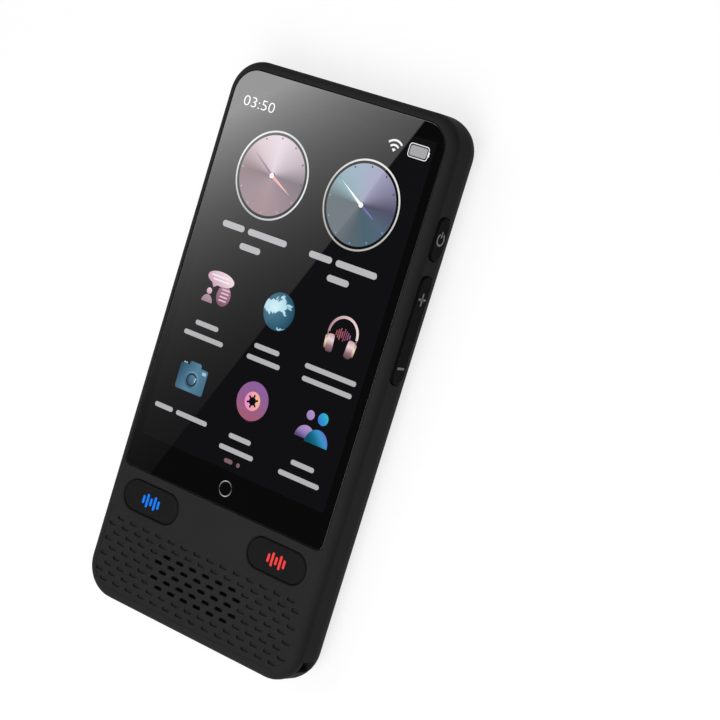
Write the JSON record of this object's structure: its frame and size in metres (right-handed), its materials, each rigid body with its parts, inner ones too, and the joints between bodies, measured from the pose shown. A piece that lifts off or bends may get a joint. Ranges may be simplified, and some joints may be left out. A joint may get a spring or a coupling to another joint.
{
  "type": "handheld translator",
  "caption": "Slab-shaped handheld voice translator with a touch screen, two talk buttons, a slotted grille, side keys, a lanyard eye and a wave-ribbed rear cover with a camera.",
  "frame": {"origin": "centre of the footprint on the plane of the rear rib crests, device lying on its back", "axes": "+Z out of the screen, +Y towards the top edge, +X towards the side with the keys"},
  "size_m": [0.0654, 0.131, 0.013],
  "materials": {
    "housing_plastic": "black moulded polycarbonate, fine spark texture",
    "cover_plastic": "black moulded polycarbonate, satin",
    "screen_glass": "cover glass with black printed border, lit display behind",
    "button_plastic": "black button cap with a coloured mark",
    "key_plastic": "black side key with a grey mark",
    "plate_plastic": "dark grey camera plate",
    "lens_glass": "coated lens glass",
    "display_layer": "display and backlight layers",
    "circuit_board": "green solder mask",
    "chip_resin": "moulded chip resin",
    "plain_steel": "stamped or turned steel",
    "frame_alloy": "cast magnesium-like light alloy",
    "battery_pouch": "laminated pouch foil",
    "tape_foam": "black foam or adhesive",
    "flex_film": "amber flexible circuit",
    "switch_resin": "switch body resin"
  },
  "bodies": {
    "handset": {"antenna_flex": "flex_film", "backlight_unit": "display_layer", "battery": "battery_pouch", "battery_lead": "flex_film", "battery_tape": "tape_foam", "board_connectors": "chip_resin", "board_ribbon": "flex_film", "camera_barrel": "chip_resin", "camera_foam": "tape_foam", "camera_lens": "lens_glass", "camera_module": "chip_resin", "camera_plate": "plate_plastic", "camera_plate_tape": "tape_foam", "camera_window_glass": "lens_glass", "card_reader": "plain_steel", "cover_glass": "screen_glass", "display_panel": "display_layer", "display_ribbon": "flex_film", "frame_screws": "plain_steel", "front_housing": "housing_plastic", "glass_adhesive": "tape_foam", "main_board": "circuit_board", "main_board_screws": "plain_steel", "microphone": "plain_steel", "microphone_boot": "tape_foam", "mid_frame": "frame_alloy", "processor_chip": "chip_resin", "processor_shield": "plain_steel", "radio_chip": "chip_resin", "radio_shield": "plain_steel", "rear_cover": "cover_plastic", "reset_switch": "switch_resin", "side_key_bracket": "plain_steel", "side_key_domes": "plain_steel", "side_key_flex": "flex_film", "small_board_screws": "plain_steel", "speaker_cone": "chip_resin", "speaker_foam": "tape_foam", "speaker_frame": "switch_resin", "speaker_magnet": "plain_steel", "speaker_mesh": "plain_steel", "talk_key_board": "circuit_board", "talk_switches": "switch_resin", "usb_board": "circuit_board", "usb_c_shell": "plain_steel", "usb_c_tongue": "chip_resin", "usb_ribbon": "flex_film"},
    "left_talk": {"left_talk_button": "button_plastic", "left_talk_plunger": "switch_resin"},
    "right_talk": {"right_talk_button": "button_plastic", "right_talk_plunger": "switch_resin"},
    "power_key": {"power_button": "key_plastic"},
    "volume_key": {"volume_rocker": "key_plastic"}
  },
  "joints": [
    {"name": "left_talk_press", "type": "slide", "parent": "handset", "child": "left_talk", "axis": [0, 0, -1], "range_m": [0, 0.00035], "stiffness_N_per_m": 1500, "springref_m": -0.0004},
    {"name": "right_talk_press", "type": "slide", "parent": "handset", "child": "right_talk", "axis": [0, 0, -1], "range_m": [0, 0.00035], "stiffness_N_per_m": 1500, "springref_m": -0.0004},
    {"name": "power_press", "type": "slide", "parent": "handset", "child": "power_key", "axis": [-1, 0, 0], "range_m": [0, 0.0003], "stiffness_N_per_m": 2000, "springref_m": -0.0003},
    {"name": "volume_rock", "type": "hinge", "parent": "handset", "child": "volume_key", "pos_m": [0.02948, 0.01855, 0.0082], "axis": [0, 0, 1], "range_deg": [-1.5, 1.5], "stiffness_Nm_per_rad": 0.3}
  ]
}
